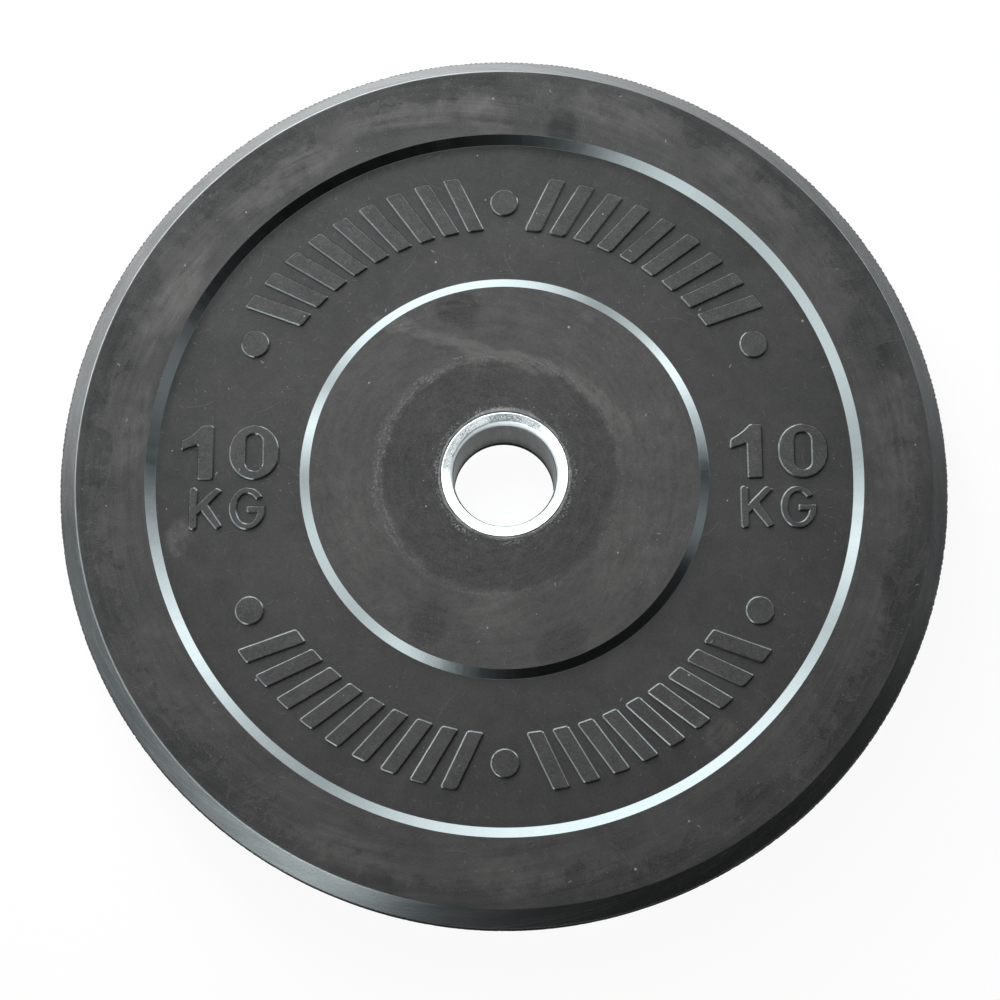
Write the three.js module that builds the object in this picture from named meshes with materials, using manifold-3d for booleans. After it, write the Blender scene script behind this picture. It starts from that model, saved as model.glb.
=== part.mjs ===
// Bumper plate: a rubber weight plate moulded round a welded steel hub insert.
// Millimetres, +Z along the plate's axis, origin at the centre of its lower face.

import * as THREE from "three";
import { mergeVertices } from "three/addons/utils/BufferGeometryUtils.js";
import Module from "manifold-3d";

const wasm = await Module();
wasm.setup();

// The whole plate
const plateDiameter = 450;
const plateThickness = 51;

// Rubber rim: the tread's chamfers and the raised ring on each side
const treadChamferWidth = 9.8;
const treadChamferDepth = 9.8;
const rimFaceWidth = 34.4;

// Rubber web: the recess on each side and the slopes that lead down to it
const recessDepth = 4;
const rimSlopeWidth = 5;
const bossSlopeWidth = 5;

// Rubber boss round the hub, a touch lower than the rim
const bossDiameter = 196.6;
const bossSetBack = 0.3;

// Moulded edges of the rubber
const treadEdgeRadius = 1.6;
const rimEdgeRadius = 1;
const slopeEdgeRadius = 0.8;
const slopeFootRadius = 1.2;
const hubLipRadius = 0.6;

// Steel hub sleeve: the bore that slides on the bar
const boreDiameter = 51.8;
const sleeveWall = 6.1;
const leadInWidth = 1.4;
const leadInDepth = 4.2;
const sleeveEdgeBreak = 0.6;

// Steel anchor flange, welded on the sleeve's middle and buried in the rubber
const flangeDiameter = 122;
const flangeThickness = 4;
const flangeHoles = 8;
const flangeLand = 4;

// Weld beads between the sleeve and the flange
const weldLeg = 5;
const weldCrown = 0.5;

// Gap kept between pieces that are bonded or welded together
const bondGap = 0.3;

// Extra length of every cutting solid
const cutOverrun = 2;

// Faces round each turned shape, round those buried in the rubber, and round each small curve
const turnSteps = 96;
const buriedTurnSteps = 48;
const holeSteps = 28;
const arcSteps = 2;
const crownSteps = 3;

// Places that follow from the sizes above
const middle = plateThickness / 2;
const plateRadius = plateDiameter / 2;
const chamferInnerRadius = plateRadius - treadChamferWidth;
const rimInnerRadius = chamferInnerRadius - rimFaceWidth;
const recessOuterRadius = rimInnerRadius - rimSlopeWidth;
const bossRadius = bossDiameter / 2;
const recessInnerRadius = bossRadius + bossSlopeWidth;
const boreRadius = boreDiameter / 2;
const sleeveRadius = boreRadius + sleeveWall;
const socketRadius = sleeveRadius + bondGap;
const flangeRadius = flangeDiameter / 2;
const weldToeRadius = sleeveRadius + weldLeg;

// The flange's holes fill the band from the weld to the edge, with a land of steel on each side
const holeCircleRadius = (flangeRadius + weldToeRadius) / 2;
const holeRadius = (flangeRadius - weldToeRadius) / 2 - flangeLand;

const blackRubber = { color: 0x3b3c3e, roughness: 0.55, metalness: 0 };
const turnedSteel = { color: 0xc9ccd0, roughness: 0.3, metalness: 1 };
const plateSteel = { color: 0x8d9196, roughness: 0.5, metalness: 1 };
const weldMetal = { color: 0x6f7276, roughness: 0.6, metalness: 1 };

// A corner of an outline, in radius and height, turned by an arc
function corner(radius, height, arcRadius = 0) {
  return { at: new THREE.Vector2(radius, height), arcRadius };
}

// The same corners on the other side of the plate, in the order that keeps the outline turning one way
function mirrored(corners) {
  return corners
    .map(({ at, arcRadius }) => corner(at.x, plateThickness - at.y, arcRadius))
    .reverse();
}

// The points of one rounded corner: an arc that touches both of its sides
function cornerArc(before, { at, arcRadius }, after) {
  if (arcRadius === 0) return [at.clone()];
  const back = before.at.clone().sub(at);
  const ahead = after.at.clone().sub(at);
  const halfAngle = Math.abs(back.angleTo(ahead)) / 2;
  const room = Math.min(back.length(), ahead.length()) / 2;
  const reach = Math.min(arcRadius / Math.tan(halfAngle), room);
  const start = back.clone().setLength(reach).add(at);
  const end = ahead.clone().setLength(reach).add(at);
  const toCentre = back.normalize().add(ahead.normalize());
  const centre = toCentre.setLength(reach / Math.cos(halfAngle)).add(at);
  const turn = end.clone().sub(centre).angle() - start.clone().sub(centre).angle();
  const shortTurn = Math.atan2(Math.sin(turn), Math.cos(turn));
  return Array.from({ length: arcSteps + 1 }, (_, step) =>
    start.clone().rotateAround(centre, (shortTurn * step) / arcSteps),
  );
}

// A closed outline through the corners, counterclockwise with the radius to the right
function outline(corners) {
  const count = corners.length;
  return corners.flatMap((here, i) =>
    cornerArc(corners[(i + count - 1) % count], here, corners[(i + 1) % count]),
  );
}

// A ring turned about the plate's axis from a closed outline
function turned(points, steps) {
  return new THREE.LatheGeometry([...points, points[0]], steps).rotateX(Math.PI / 2);
}

// A flat piece cut from sheet, centred on the plate's middle
function sheet(shape, thickness) {
  const options = { depth: thickness, bevelEnabled: false };
  return new THREE.ExtrudeGeometry(shape, options).translate(0, 0, middle - thickness / 2);
}

// A circle about a point, as an outline with the given number of sides
function circle(radius, sides, centre = new THREE.Vector2()) {
  return Array.from({ length: sides }, (_, side) =>
    new THREE.Vector2(radius, 0)
      .rotateAround(new THREE.Vector2(), (2 * Math.PI * side) / sides)
      .add(centre),
  );
}

// The centres of the flange's holes
function holeCentres() {
  return Array.from({ length: flangeHoles }, (_, hole) =>
    new THREE.Vector2(holeCircleRadius, 0).rotateAround(
      new THREE.Vector2(),
      (2 * Math.PI * hole) / flangeHoles,
    ),
  );
}

// A geometry as a solid that can be cut and joined
function solidOf(geometry) {
  const bare = geometry.clone();
  bare.deleteAttribute("normal");
  bare.deleteAttribute("uv");
  const welded = mergeVertices(bare);
  return new wasm.Manifold(
    new wasm.Mesh({
      numProp: 3,
      vertProperties: new Float32Array(welded.attributes.position.array),
      triVerts: new Uint32Array(welded.index.array),
    }),
  );
}

// A solid as a geometry that can be drawn
function geometryOf(solid) {
  const mesh = solid.getMesh();
  const geometry = new THREE.BufferGeometry();
  geometry.setAttribute("position", new THREE.BufferAttribute(mesh.vertProperties, 3));
  geometry.setIndex(new THREE.BufferAttribute(mesh.triVerts, 1));
  geometry.computeVertexNormals();
  return geometry;
}

function piece(name, geometry, finish) {
  const mesh = new THREE.Mesh(geometry, new THREE.MeshStandardMaterial(finish));
  mesh.name = name;
  return mesh;
}

// Rubber: one side's corners, from the tread's edge inwards to the hub
function rubberFaceCorners() {
  const bossHeight = plateThickness - bossSetBack;
  const recessHeight = plateThickness - recessDepth;
  return [
    corner(plateRadius, plateThickness - treadChamferDepth, treadEdgeRadius),
    corner(chamferInnerRadius, plateThickness, rimEdgeRadius),
    corner(rimInnerRadius, plateThickness, slopeEdgeRadius),
    corner(recessOuterRadius, recessHeight, slopeFootRadius),
    corner(recessInnerRadius, recessHeight, slopeFootRadius),
    corner(bossRadius, bossHeight, slopeEdgeRadius),
    corner(socketRadius, bossHeight, hubLipRadius),
  ];
}

// The space that the flange and its welds take inside the rubber, gap included
function insertSpace() {
  const flangeTop = middle + flangeThickness / 2 + bondGap;
  const weldReach = weldLeg + weldCrown + bondGap;
  const upper = [
    corner(flangeRadius + bondGap, flangeTop),
    corner(sleeveRadius + weldReach, flangeTop),
    corner(socketRadius, flangeTop + weldReach - bondGap),
    corner(socketRadius - cutOverrun, flangeTop + weldReach - bondGap),
  ];
  return turned(outline([...upper, ...mirrored(upper)]), buriedTurnSteps);
}

// The rubber that fills the flange's holes and ties the two halves of the plate together
function rubberPegs() {
  const pegRadius = holeRadius - bondGap;
  const pegLength = flangeThickness + 2 * (bondGap + cutOverrun);
  return holeCentres().map((centre) =>
    solidOf(sheet(new THREE.Shape(circle(pegRadius, holeSteps, centre)), pegLength)),
  );
}

function rubberBody() {
  const face = rubberFaceCorners();
  const blank = solidOf(turned(outline([...face, ...mirrored(face)]), turnSteps));
  const space = rubberPegs().reduce((left, peg) => left.subtract(peg), solidOf(insertSpace()));
  return piece("rubber_body", geometryOf(blank.subtract(space)), blackRubber);
}

// Steel sleeve: a turned tube with a lead-in at each mouth
function hubSleeve() {
  const face = [
    corner(sleeveRadius, plateThickness - sleeveEdgeBreak),
    corner(sleeveRadius - sleeveEdgeBreak, plateThickness),
    corner(boreRadius + leadInWidth, plateThickness),
    corner(boreRadius, plateThickness - leadInDepth),
  ];
  const tube = turned(outline([...face, ...mirrored(face)]), turnSteps);
  return piece("hub_sleeve", tube, turnedSteel);
}

// Anchor flange: a disc with a hole for the sleeve and a ring of holes for the rubber
function anchorFlange() {
  const disc = new THREE.Shape(circle(flangeRadius, buriedTurnSteps));
  disc.holes.push(new THREE.Path(circle(socketRadius, buriedTurnSteps)));
  for (const centre of holeCentres()) {
    disc.holes.push(new THREE.Path(circle(holeRadius, holeSteps, centre)));
  }
  return piece("anchor_flange", sheet(disc, flangeThickness), plateSteel);
}

// A weld bead on the flange's upper side: two legs and a crowned face
function weldBeadCorners() {
  const heel = new THREE.Vector2(socketRadius, middle + flangeThickness / 2 + bondGap);
  const leg = weldLeg - bondGap;
  const toe = heel.clone().add(new THREE.Vector2(leg, 0));
  const top = heel.clone().add(new THREE.Vector2(0, leg));
  const outward = new THREE.Vector2(weldCrown, weldCrown).multiplyScalar(Math.SQRT1_2);
  const crown = Array.from({ length: crownSteps + 1 }, (_, step) => {
    const share = step / crownSteps;
    const rise = outward.clone().multiplyScalar(Math.sin(Math.PI * share));
    return toe.clone().lerp(top, share).add(rise);
  });
  return [heel, ...crown].map((at) => corner(at.x, at.y));
}

function weldBeads() {
  const upper = weldBeadCorners();
  return [
    piece("front_weld_bead", turned(outline(upper), buriedTurnSteps), weldMetal),
    piece("back_weld_bead", turned(outline(mirrored(upper)), buriedTurnSteps), weldMetal),
  ];
}

const bumperPlate = new THREE.Group();
bumperPlate.name = "bumper_plate";
bumperPlate.add(rubberBody(), hubSleeve(), anchorFlange(), ...weldBeads());

export default bumperPlate;
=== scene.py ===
"""Looks for a bumper plate: a knurled rubber weight moulded round a turned steel hub sleeve."""

import math
import random
from types import SimpleNamespace

import bmesh
import bpy
from mathutils import Matrix, Vector


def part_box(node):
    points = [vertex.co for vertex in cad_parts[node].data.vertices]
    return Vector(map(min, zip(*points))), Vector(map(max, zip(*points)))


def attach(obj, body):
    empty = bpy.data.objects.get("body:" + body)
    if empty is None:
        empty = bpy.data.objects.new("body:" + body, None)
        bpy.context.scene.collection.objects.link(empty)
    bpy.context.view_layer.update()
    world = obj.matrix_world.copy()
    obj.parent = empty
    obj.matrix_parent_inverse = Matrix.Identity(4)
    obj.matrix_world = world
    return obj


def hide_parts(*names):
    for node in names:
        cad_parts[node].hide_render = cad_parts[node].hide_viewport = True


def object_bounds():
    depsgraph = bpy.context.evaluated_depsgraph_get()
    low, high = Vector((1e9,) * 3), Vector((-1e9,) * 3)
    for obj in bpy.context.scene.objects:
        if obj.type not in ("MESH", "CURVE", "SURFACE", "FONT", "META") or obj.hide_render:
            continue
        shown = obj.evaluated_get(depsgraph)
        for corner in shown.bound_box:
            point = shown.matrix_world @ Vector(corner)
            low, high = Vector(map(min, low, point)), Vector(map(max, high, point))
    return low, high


bl_info = {
    "name": "Bumper Plate",
    "version": (1, 0, 0),
    "blender": (4, 5, 0),
    "location": "3D View > Sidebar > Bumper Plate",
    "description": "Builds and lights a knurled rubber bumper plate round its packed frame",
    "category": "Object",
}

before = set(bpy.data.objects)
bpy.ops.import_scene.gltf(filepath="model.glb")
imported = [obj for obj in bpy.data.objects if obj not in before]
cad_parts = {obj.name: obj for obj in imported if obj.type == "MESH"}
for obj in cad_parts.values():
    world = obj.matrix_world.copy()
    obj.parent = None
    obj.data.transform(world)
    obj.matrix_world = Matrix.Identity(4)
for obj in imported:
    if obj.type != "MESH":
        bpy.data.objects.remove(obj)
CAD_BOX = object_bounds()

# One millimetre, in metres
MM = 0.001

# Places that the frame gives
PLATE_RADIUS = CAD_BOX[1].x
FRONT = CAD_BOX[1].z
MIDDLE = FRONT / 2
SLEEVE_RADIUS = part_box("hub_sleeve")[1].x
FLANGE_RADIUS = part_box("anchor_flange")[1].x
FLANGE_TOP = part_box("anchor_flange")[1].z
WELD_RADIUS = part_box("front_weld_bead")[1].x
WELD_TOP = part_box("front_weld_bead")[1].z

# The gap that the frame keeps between bonded pieces
BOND_GAP = 0.3 * MM

# How far a raised mark reaches under the face that carries it
MARK_ROOT = 0.3 * MM

# Points closer than this are one point
MERGE = 0.001 * MM

# Edges that turn more than this are sharp
SHARP_ANGLE = math.radians(28)

UP = Vector((0, 0, 1))
FULL_TURN = 2 * math.pi

# Width of the camera's sensor, in millimetres
SENSOR = 36

# The glow of the floor as it is seen, its grey under shadows, and its grey for the light on things
FLOOR_GLOW = 0.94
FLOOR_SHADE = 0.07
FLOOR_GREY = 0.75


def length(name, description, millimetres):
    """A length property whose default is given in millimetres."""
    return bpy.props.FloatProperty(
        name=name,
        description=description,
        default=millimetres * MM,
        min=0,
        unit="LENGTH",
        subtype="DISTANCE",
        precision=5,
    )


def rotation(name, description, degrees):
    """An angle property whose default is given in degrees."""
    return bpy.props.FloatProperty(
        name=name,
        description=description,
        default=math.radians(degrees),
        subtype="ANGLE",
    )


def count(name, description, default, least=1):
    """A whole number property."""
    return bpy.props.IntProperty(name=name, description=description, default=default, min=least)


def factor(name, description, default):
    """A plain number property."""
    return bpy.props.FloatProperty(name=name, description=description, default=default, min=0)


def colour(name, description, default):
    """A linear colour property."""
    return bpy.props.FloatVectorProperty(
        name=name,
        description=description,
        default=default,
        min=0,
        max=1,
        subtype="COLOR",
    )


class PlateRubberShape(bpy.types.PropertyGroup):
    """Sizes of the rubber weight"""

    chamfer_width: length("Chamfer width", "Width of the tread's chamfer", 9.1)
    chamfer_depth: length("Chamfer depth", "Depth of the tread's chamfer", 9.75)
    rim_width: length("Rim width", "Width of the raised flat rim", 34.4)
    rim_slope: length("Rim slope", "Width of the slope from the rim to the recess", 5)
    recess_depth: length("Recess depth", "Depth of the recess under the rim", 4)
    boss_diameter: length("Boss diameter", "Diameter of the flat boss", 196.6)
    boss_slope: length("Boss slope", "Width of the slope from the boss to the recess", 5)
    boss_set_back: length("Boss set-back", "How far the boss lies under the rim", 0.3)
    tread_edge: length("Tread edge", "Rounding between the tread and its chamfer", 0.5)
    rim_edge: length("Rim edge", "Rounding between the chamfer and the rim", 0.4)
    slope_edge: length("Slope edge", "Rounding at the top of a slope", 0.3)
    slope_foot: length("Slope foot", "Rounding at the foot of a slope", 0.35)
    flash_width: length("Flash width", "Width of the ragged lip round the hub", 1.1)
    flash_height: length("Flash height", "Height of the ragged lip round the hub", 0.3)
    knurl_height: length("Knurl height", "Height of the tread's knurl", 0.7)
    knurl_flank: length("Knurl flank", "Width of each side of a knurl point", 0.55)
    knurl_wear: length("Knurl wear", "Most that a knurl point is worn down", 0.25)
    knurl_border: length("Knurl border", "Plain border between the knurl and the chamfer", 0.1)
    knurl_columns: count("Knurl columns", "Knurl points round the tread, in one row", 528, 48)
    knurl_rows: count("Knurl rows", "Rows of knurl points between the tread's middle and its edge", 4)


class PlateMarkShape(bpy.types.PropertyGroup):
    """Sizes of the raised weight marks and of the raised bars"""

    rise: length("Rise", "Height of the marks over the recess", 1.2)
    edge_width: length("Edge width", "Width of the slope round the marks' tops", 0.75)
    edge_height: length("Edge height", "Height of the slope round the marks' tops", 0.6)
    distance: length("Distance", "Distance of the weight marks from the hub", 138.6)
    figure_height: length("Figure height", "Height of the figures", 28.4)
    letter_height: length("Letter height", "Height of the unit's letters", 21.9)
    figures_up: length("Figures up", "How far the figures stand over the centre line", 12.4)
    letters_down: length("Letters down", "How far the letters stand under it", 16.5)
    turn: rotation("Turn", "Turn of the marks about the hub", 0.19)
    bar_circle: length("Bar circle", "Radius of the circle that the bars stand on", 144.5)
    bar_length: length("Bar length", "Length of a bar", 30)
    bar_width: length("Bar width", "Width of a bar", 8.6)
    bar_corner: length("Bar corner", "Rounding of a bar's corners", 1.6)
    dot_diameter: length("Dot diameter", "Diameter of the dots between the bars", 14.5)
    bar_lean: rotation("Bar lean", "Lean of the bars from the radius", 17)
    bar_step: rotation("Bar step", "Angle from one bar to the next", 5.6)
    bars_in_run: count("Bars in a run", "Bars on each side of a middle dot", 9)


class PlateSleeveShape(bpy.types.PropertyGroup):
    """Sizes of the steel hub sleeve"""

    bore: length("Bore", "Diameter of the bore", 51.8)
    lead_in_width: length("Lead-in width", "Width of the lead-in at each mouth", 1.4)
    lead_in_depth: length("Lead-in depth", "Depth of the lead-in at each mouth", 4.2)
    outer_edge: length("Outer edge", "Rounding of the outer edge", 0.45)
    inner_edge: length("Inner edge", "Rounding of the lead-in's edge", 0.7)
    throat_edge: length("Throat edge", "Rounding between the lead-in and the bore", 0.5)
    burr: length("Burr", "Most that the outer edge wanders", 0.12)
    steps: count("Steps", "Faces round the sleeve", 288, 48)


class PlateFinish(bpy.types.PropertyGroup):
    """Colours of the rubber and the steel"""

    rubber_dark: colour("Dark rubber", "Clean matte rubber", (0.0152, 0.0142, 0.014))
    rubber_light: colour("Light rubber", "Scuffed and dusty rubber", (0.108, 0.103, 0.101))
    rubber_gloss: colour("Glossy rubber", "Rubber on the slopes", (0.0095, 0.0098, 0.0102))
    scratch: colour("Scratch", "Scratched rubber", (0.34, 0.345, 0.35))
    steel_bright: colour("Bright steel", "Turned steel", (0.85, 0.865, 0.87))
    steel_dull: colour("Dull steel", "Rough turned steel", (0.13, 0.135, 0.138))
    steel_bore: colour("Bore steel", "Dark steel inside the bore", (0.04, 0.043, 0.043))
    steel_speck: colour("Steel speck", "Specks on the steel", (0.09, 0.095, 0.10))


class PlateStudio(bpy.types.PropertyGroup):
    """The camera and the lamps"""

    camera_place: bpy.props.FloatVectorProperty(
        name="Camera place",
        description="Where the camera stands",
        default=(-0.0085, -0.2384, 1.1337),
        subtype="TRANSLATION",
        unit="LENGTH",
        precision=5,
    )
    camera_turn: bpy.props.FloatVectorProperty(
        name="Camera turn",
        description="The camera's rotation from looking straight down",
        default=(math.radians(11.745), math.radians(-0.309), math.radians(-0.067)),
        subtype="EULER",
    )
    camera_lens: bpy.props.FloatProperty(
        name="Camera lens",
        description="Focal length in millimetres on the camera's sensor",
        default=79.44,
        min=1,
    )
    lamp_level: factor("Lamp level", "Factor on the brightness of all the lamps", 1.0)
    sky_level: factor("Sky level", "Light that comes evenly from all round", 0.05)


def round_corners(mesh, corners, segments):
    """Round the vertices of a chain by the lengths given, largest first."""
    for vertex, reach in corners:
        if reach > 0:
            bmesh.ops.bevel(
                mesh,
                geom=[vertex],
                offset=reach,
                offset_type="OFFSET",
                affect="VERTICES",
                segments=segments,
                profile=0.5,
                clamp_overlap=True,
                material=-1,
            )


def turned_chain(mesh, corners):
    """Join corners in the XZ plane, given as radius, height and reach, and round each by its reach."""
    vertices = chain(mesh, [(radius, 0, height) for radius, height, _ in corners])
    round_corners(mesh, [(v, corner[2]) for v, corner in zip(vertices, corners)], 4)


def flat_face(mesh, corners, segments):
    """A face with straight sides whose corners, given as x, y and reach, are rounded by their reach."""
    vertices = chain(mesh, [(x, y, 0) for x, y, _ in corners], closed=True)
    mesh.faces.new(vertices)
    round_corners(mesh, [(v, corner[2]) for v, corner in zip(vertices, corners)], segments)


def chain(mesh, corners, closed=False):
    """Join corners by edges and return their vertices."""
    vertices = [mesh.verts.new(place) for place in corners]
    for start, end in zip(vertices, vertices[1:]):
        mesh.edges.new((start, end))
    if closed:
        mesh.edges.new((vertices[-1], vertices[0]))
    return vertices


def everything(mesh):
    """All the vertices, edges and faces of a mesh."""
    return mesh.verts[:] + mesh.edges[:] + mesh.faces[:]


def spin_round(mesh, steps):
    """Spin a profile a full turn about the plate's axis."""
    bmesh.ops.spin(
        mesh,
        geom=everything(mesh),
        cent=(0, 0, 0),
        axis=UP,
        angle=FULL_TURN,
        steps=steps,
        use_merge=True,
    )


def repeat_round(mesh, angle, steps):
    """Repeat a mesh round the plate's axis, up to an angle."""
    bmesh.ops.spin(
        mesh,
        geom=everything(mesh),
        cent=(0, 0, 0),
        axis=UP,
        angle=angle,
        steps=steps,
        use_duplicate=True,
    )


def turn_mesh(mesh, angle):
    """Turn a mesh about the plate's axis."""
    bmesh.ops.rotate(mesh, verts=mesh.verts[:], matrix=Matrix.Rotation(angle, 3, "Z"))


def move_mesh(mesh, *place):
    """Move a mesh to a place."""
    bmesh.ops.translate(mesh, verts=mesh.verts[:], vec=place)


def turn_profile(mesh, steps):
    """Spin a profile in the XZ plane about the plate's axis, and mirror it to the back."""
    spin_round(mesh, steps)
    bmesh.ops.mirror(
        mesh,
        geom=everything(mesh),
        matrix=Matrix.Translation((0, 0, -MIDDLE)),
        merge_dist=MERGE,
        axis="Z",
    )
    close_surface(mesh)


def close_surface(mesh):
    """Merge doubled points and turn every face outwards."""
    bmesh.ops.remove_doubles(mesh, verts=mesh.verts[:], dist=MERGE)
    bmesh.ops.recalc_face_normals(mesh, faces=mesh.faces[:])


def raise_faces(mesh, marks):
    """Raise flat faces to the marks' height and slope their upper edges."""
    mesh.normal_update()
    bmesh.ops.reverse_faces(mesh, faces=[face for face in mesh.faces if face.normal.z < 0])
    raised = bmesh.ops.extrude_face_region(mesh, geom=mesh.faces[:])["geom"]
    vertices = [item for item in raised if isinstance(item, bmesh.types.BMVert)]
    wall = marks.rise + MARK_ROOT - marks.edge_height
    bmesh.ops.translate(mesh, verts=vertices, vec=UP * wall)
    bmesh.ops.inset_region(
        mesh,
        faces=[item for item in raised if isinstance(item, bmesh.types.BMFace)],
        thickness=marks.edge_width,
        depth=marks.edge_height,
        use_boundary=True,
        use_even_offset=True,
    )


def copy_to_back(mesh):
    """Repeat raised shapes on the back face, turned over about the X axis."""
    copied = bmesh.ops.duplicate(mesh, geom=everything(mesh))["geom"]
    vertices = [item for item in copied if isinstance(item, bmesh.types.BMVert)]
    bmesh.ops.rotate(
        mesh,
        verts=vertices,
        cent=(0, 0, MIDDLE),
        matrix=Matrix.Rotation(math.pi, 3, "X"),
    )


def new_object(mesh, name, material):
    """Turn a bmesh into a named object."""
    data = bpy.data.meshes.new(name)
    mesh.to_mesh(data)
    mesh.free()
    data.materials.append(material)
    made = bpy.data.objects.new(name, data)
    bpy.context.scene.collection.objects.link(made)
    return made


def new_piece(mesh, name, material):
    """Turn a bmesh into a smooth piece that rides on the plate."""
    piece = new_object(mesh, name, material)
    data = piece.data
    data.polygons.foreach_set("use_smooth", [True] * len(data.polygons))
    data.set_sharp_from_angle(angle=SHARP_ANGLE)
    normals = piece.modifiers.new("even_faces", "WEIGHTED_NORMAL")
    normals.keep_sharp = True
    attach(piece, "root")
    return piece


class Signal:
    """A shader socket in an expression: each operator adds its Math node."""

    def __init__(self, shader, socket):
        self.shader = shader
        self.socket = socket

    def __getitem__(self, output):
        """Another output of the node that this signal comes from."""
        return Signal(self.shader, self.socket.node.outputs[output])

    def __add__(self, other):
        return self.shader.maths("ADD", self, other)

    def __radd__(self, other):
        return self.shader.maths("ADD", other, self)

    def __sub__(self, other):
        return self.shader.maths("SUBTRACT", self, other)

    def __rsub__(self, other):
        return self.shader.maths("SUBTRACT", other, self)

    def __mul__(self, other):
        return self.shader.maths("MULTIPLY", self, other)

    def __rmul__(self, other):
        return self.shader.maths("MULTIPLY", other, self)

    def __gt__(self, other):
        return self.shader.maths("GREATER_THAN", self, other)

    def __abs__(self):
        return self.shader.maths("ABSOLUTE", self)


class Shader:
    """The node tree of a material or a world, and the ways to add to it."""

    def __init__(self, owner):
        self.owner = owner
        owner.use_nodes = True
        self.tree = owner.node_tree
        self.tree.nodes.clear()

    def node(self, kind, settings=None, inputs=None, output=0):
        """Add a node: its settings first, then the values or links of its sockets."""
        made = self.tree.nodes.new(kind)
        for name, value in (settings or {}).items():
            if name == "stops":
                self.set_stops(made.color_ramp, value)
            else:
                setattr(made, name, value)
        for key, value in (inputs or {}).items():
            if isinstance(value, Signal):
                self.tree.links.new(value.socket, made.inputs[key])
            else:
                made.inputs[key].default_value = value
        return Signal(self, made.outputs[output]) if len(made.outputs) else None

    @staticmethod
    def set_stops(ramp, stops):
        """Give a ramp its stops, as pairs of a place and a grey level."""
        while len(ramp.elements) < len(stops):
            ramp.elements.new(1)
        for element, (place, level) in zip(ramp.elements, stops):
            element.position = place
            element.color = (level, level, level, 1)

    def maths(self, operation, *values):
        return self.node("ShaderNodeMath", {"operation": operation}, dict(enumerate(values)))

    def vector(self, operation, first, second=(0, 0, 0), output="Vector"):
        return self.node(
            "ShaderNodeVectorMath", {"operation": operation}, {0: first, 1: second}, output
        )

    def point(self):
        """The point on the piece, in metres."""
        return self.node("ShaderNodeTexCoord", output="Object")

    def place(self):
        """The point on the piece, in millimetres."""
        return self.vector("MULTIPLY", self.point(), (1 / MM, 1 / MM, 1 / MM))

    def part(self, vector, axis):
        """One coordinate of a vector."""
        return self.node("ShaderNodeSeparateXYZ", inputs={0: vector}, output=axis)

    def joined(self, x, y, z):
        return self.node("ShaderNodeCombineXYZ", inputs={0: x, 1: y, 2: z})

    def flat(self, vector):
        """A vector without its height."""
        return self.vector("MULTIPLY", vector, (1, 1, 0))

    def flat_length(self, vector):
        return self.vector("LENGTH", self.flat(vector), output="Value")

    def around(self, vector):
        """The direction of a vector round the plate's axis."""
        return self.vector("NORMALIZE", self.flat(vector))

    def facing(self, around, x, y):
        """How far a direction round the axis turns towards another: 1 where it points there."""
        return self.vector("DOT_PRODUCT", around, (x, y, 0), "Value")

    def angle(self, vector):
        """The angle of a vector round the plate's axis."""
        return self.maths("ARCTAN2", self.part(vector, "Y"), self.part(vector, "X"))

    def rise(self, value, low, high, bottom=0.0, top=1.0):
        """A smooth step from bottom to top as the value goes from low to high."""
        return self.node(
            "ShaderNodeMapRange",
            {"interpolation_type": "SMOOTHSTEP"},
            {0: value, 1: low, 2: high, 3: bottom, 4: top},
        )

    def band(self, value, low, high, soft):
        """1 between low and high, fading over a soft edge on each side."""
        return self.rise(value, low - soft, low + soft) * self.rise(value, high - soft, high + soft, 1, 0)

    def noise(self, vector, size, detail=2.0, roughness=0.5, distortion=0.0, output="Fac"):
        """Noise whose features are about size millimetres wide."""
        inputs = {
            "Vector": vector,
            "Scale": 1 / size,
            "Detail": detail,
            "Roughness": roughness,
            "Distortion": distortion,
        }
        return self.node("ShaderNodeTexNoise", {}, inputs, output)

    def mix(self, share, first, second):
        """A colour between two, each a signal or a linear colour."""
        first, second = (end if isinstance(end, Signal) else (*end, 1) for end in (first, second))
        return self.node("ShaderNodeMix", {"data_type": "RGBA"}, {0: share, 6: first, 7: second}, 2)

    def scatter(self, vector, pitch):
        """Points strewn about pitch millimetres apart: the way to the nearest one, and its chances."""
        nearest = self.node(
            "ShaderNodeTexVoronoi",
            {"voronoi_dimensions": "2D"},
            {"Vector": vector, "Scale": 1 / pitch},
            "Position",
        )
        chance = self.node("ShaderNodeSeparateColor", inputs={0: nearest["Color"]}, output="Red")
        return self.vector("SUBTRACT", vector, nearest), chance, chance["Green"]

    def scratches(self, vector, pitch, reach, width, share):
        """Short bent scratches, one in a share of the cells, each at its own angle."""
        away, chance, second = self.scatter(vector, pitch)
        turned = self.node(
            "ShaderNodeVectorRotate",
            {"rotation_type": "Z_AXIS"},
            {"Vector": away, "Angle": chance * FULL_TURN},
            "Vector",
        )
        along = self.part(turned, "X")
        across = self.part(turned, "Y")
        bend = (second - 0.5) * (1.6 / reach)
        off_line = abs(across + bend * along * along)
        thin = self.rise(off_line, 0.0, width, 1, 0)
        ends = self.rise(abs(along), reach * 0.25, reach * 0.5, 1, 0)
        return thin * ends * (second > 1 - share)

    def flecks(self, vector, pitch, size, share):
        """Small round flecks in a share of the cells."""
        away, chance, second = self.scatter(vector, pitch)
        reach = chance * size
        return self.rise(self.flat_length(away), reach * 0.35, reach, 1, 0) * (second > 1 - share)

    def bump(self, height):
        """Turn a height in millimetres into a normal."""
        return self.node("ShaderNodeBump", inputs={"Strength": 1.0, "Distance": MM, "Height": height})

    def principled(self, **sockets):
        """A Principled shader, whose sockets are named with underscores for spaces."""
        named = {name.replace("_", " "): value for name, value in sockets.items()}
        return self.node("ShaderNodeBsdfPrincipled", inputs=named)

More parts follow.
